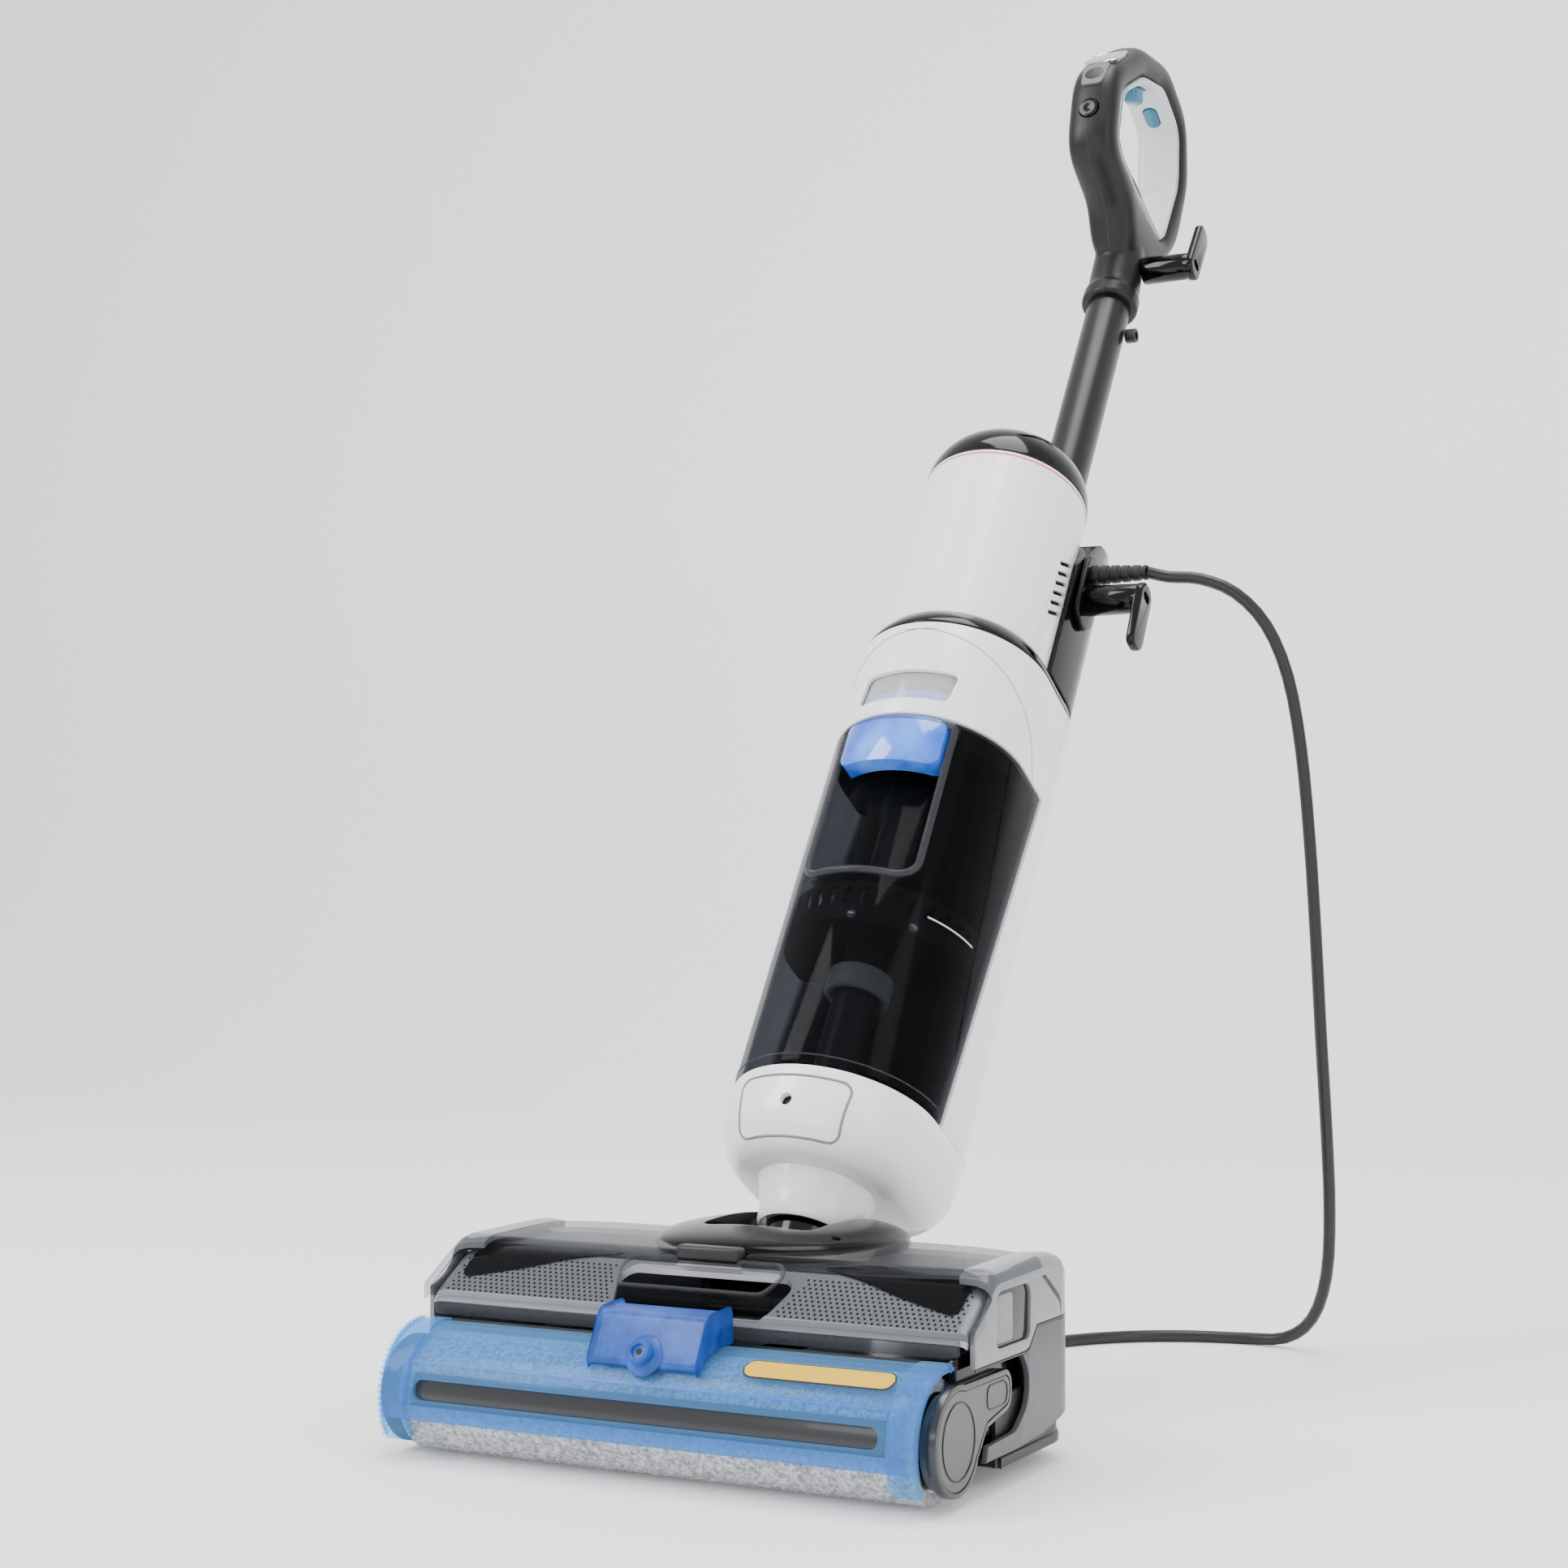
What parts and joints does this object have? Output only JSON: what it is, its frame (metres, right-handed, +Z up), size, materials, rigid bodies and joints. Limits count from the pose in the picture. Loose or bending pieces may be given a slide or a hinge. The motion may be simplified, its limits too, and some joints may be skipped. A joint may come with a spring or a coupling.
{
  "type": "steam mop",
  "caption": "Corded steam floor washer with a plush roller head, leaning body with dirty and clean water tanks, wand and loop handle with cord hooks.",
  "frame": {"origin": "middle of the wiper blade's lower edge, on the floor", "axes": "+X to the right across the head, +Y to the back, +Z up"},
  "size_m": [0.3233, 0.7051, 0.8261],
  "materials": {
    "black_abs": "fine matt",
    "rubber": "matt",
    "dark_grey_abs": "satin",
    "light_grey_abs": "gloss",
    "mid_grey_abs": "satin",
    "smoke_clear": "clear gloss",
    "silver_mesh": "satin dotted",
    "gloss_black": "piano gloss",
    "steel_boiler": "brushed",
    "steel": "turned",
    "white_pom": "moulded",
    "clear_blue": "clear gloss",
    "blue_gloss": "gloss",
    "aluminium": "satin",
    "plush": "pile",
    "white_abs": "satin gloss",
    "smoke_tank": "clear gloss",
    "clear": "clear gloss",
    "water": "liquid",
    "wand_paint": "satin paint",
    "soft_grey": "soft touch",
    "liner_grey": "satin",
    "lens": "mirror gloss",
    "teal_button": "gloss",
    "cord_pvc": "satin"
  },
  "bodies": {
    "head": {"base_pan": "black_abs", "roller_bay": "black_abs", "wiper_blade": "rubber", "lower_shell": "dark_grey_abs", "side_trims": "light_grey_abs", "top_cover": "smoke_clear", "inner_panel": "silver_mesh", "bumper_strip": "smoke_clear", "saddle": "gloss_black", "boiler": "steel_boiler", "suction_duct": "black_abs", "drive_motor": "steel", "drive_belt": "rubber", "wheel_axles": "steel", "hinge_pin": "steel"},
    "latch": {"cover_latch": "gloss_black"},
    "pulley": {"motor_pulley": "steel"},
    "hub": {"drive_hub": "white_pom"},
    "wheel_left": {"rear_wheel_left": "rubber"},
    "wheel_right": {"rear_wheel_right": "rubber"},
    "cover": {"roller_cover": "clear_blue", "steam_box": "blue_gloss", "steam_nozzle": "blue_gloss"},
    "cap": {"end_cap": "dark_grey_abs", "end_cap_inlay": "mid_grey_abs"},
    "roller": {"roller_core": "aluminium", "roller_pile": "plush"},
    "neck": {"neck_yoke": "gloss_black"},
    "body": {"swivel_sleeve": "white_abs", "lower_cup": "white_abs", "back_frame": "white_abs", "collar": "white_abs", "gloss_ring": "gloss_black", "motor_housing": "white_abs", "dome_cap": "gloss_black", "suction_motor": "aluminium", "spine": "gloss_black", "wand": "wand_paint", "handle_shell": "soft_grey", "handle_liner": "liner_grey", "display_lens": "lens", "cord_clip": "black_abs", "lower_hook": "gloss_black", "strain_relief": "rubber", "cord_lead": "cord_pvc", "cord_coil": "cord_pvc", "plug": "cord_pvc"},
    "dirty": {"dirty_tank": "smoke_tank", "tank_lid": "black_abs", "filter_basket": "black_abs", "tank_pipe": "black_abs"},
    "float": {"float_ball": "white_pom"},
    "release": {"release_button": "blue_gloss"},
    "clean": {"clean_tank": "clear", "clean_tank_cover": "white_abs", "clean_water": "water"},
    "mode": {"mode_button": "soft_grey"},
    "trigger": {"steam_trigger": "teal_button"},
    "rinse": {"rinse_button": "teal_button"},
    "hook": {"upper_hook": "gloss_black"}
  },
  "joints": [
    {"name": "latch_slide", "type": "slide", "parent": "head", "child": "latch", "axis": [0, 1, 0], "range_m": [0, 0.003], "stiffness_N_per_m": 400, "springref_m": -0.001},
    {"name": "cover_lift", "type": "slide", "parent": "head", "child": "cover", "axis": [0, -0.96, 0.28], "range_m": [0, 0.12]},
    {"name": "roller_pull", "type": "slide", "parent": "head", "child": "cap", "axis": [1, 0, 0], "range_m": [0, 0.29]},
    {"name": "roller_spin", "type": "hinge", "parent": "cap", "child": "roller", "pos_m": [0, -0.046, 0.028], "axis": [1, 0, 0], "continuous": true},
    {"name": "hub_spin", "type": "hinge", "parent": "head", "child": "hub", "pos_m": [0, -0.046, 0.028], "axis": [1, 0, 0], "continuous": true},
    {"name": "pulley_spin", "type": "hinge", "parent": "head", "child": "pulley", "pos_m": [0, 0.024, 0.034], "axis": [1, 0, 0], "continuous": true},
    {"name": "wheel_left_spin", "type": "hinge", "parent": "head", "child": "wheel_left", "pos_m": [-0.081, 0.093, 0.012], "axis": [1, 0, 0], "continuous": true},
    {"name": "wheel_right_spin", "type": "hinge", "parent": "head", "child": "wheel_right", "pos_m": [0.081, 0.093, 0.012], "axis": [1, 0, 0], "continuous": true},
    {"name": "neck_tilt", "type": "hinge", "parent": "head", "child": "neck", "pos_m": [0, 0.065, 0.062], "axis": [-1, 0, 0], "range_deg": [-32.4, 37.6]},
    {"name": "neck_swivel", "type": "hinge", "parent": "neck", "child": "body", "pos_m": [0, 0.065, 0.062], "axis": [0, 0.5358, 0.8443], "range_deg": [-45, 45]},
    {"name": "dirty_pull", "type": "slide", "parent": "body", "child": "dirty", "axis": [0, -0.8443, 0.5358], "range_m": [0, 0.15]},
    {"name": "float_rise", "type": "slide", "parent": "dirty", "child": "float", "axis": [0, 0.5358, 0.8443], "range_m": [0, 0.006]},
    {"name": "release_press", "type": "slide", "parent": "dirty", "child": "release", "axis": [0, 0.8443, -0.5358], "range_m": [0, 0.0025], "stiffness_N_per_m": 600, "springref_m": -0.001},
    {"name": "clean_pull", "type": "slide", "parent": "body", "child": "clean", "axis": [0, 0.8443, -0.5358], "range_m": [0, 0.12]},
    {"name": "mode_press", "type": "slide", "parent": "body", "child": "mode", "axis": [0, 0.9686, -0.2487], "range_m": [0, 0.0015], "stiffness_N_per_m": 500, "springref_m": -0.001},
    {"name": "trigger_press", "type": "slide", "parent": "body", "child": "trigger", "axis": [0, -0.0802, 0.9968], "range_m": [0, 0.004], "stiffness_N_per_m": 400, "springref_m": -0.002},
    {"name": "rinse_press", "type": "slide", "parent": "body", "child": "rinse", "axis": [0, 0.565, 0.8251], "range_m": [0, 0.0015], "stiffness_N_per_m": 500, "springref_m": -0.001},
    {"name": "hook_turn", "type": "hinge", "parent": "body", "child": "hook", "pos_m": [0.032, 0.53004, 0.67162], "axis": [1, 0, 0], "range_deg": [-180, 0]}
  ],
  "couplings": [
    {"joint": "hub_spin", "follows": "roller_spin", "ratio": 1},
    {"joint": "pulley_spin", "follows": "roller_spin", "ratio": 2}
  ]
}
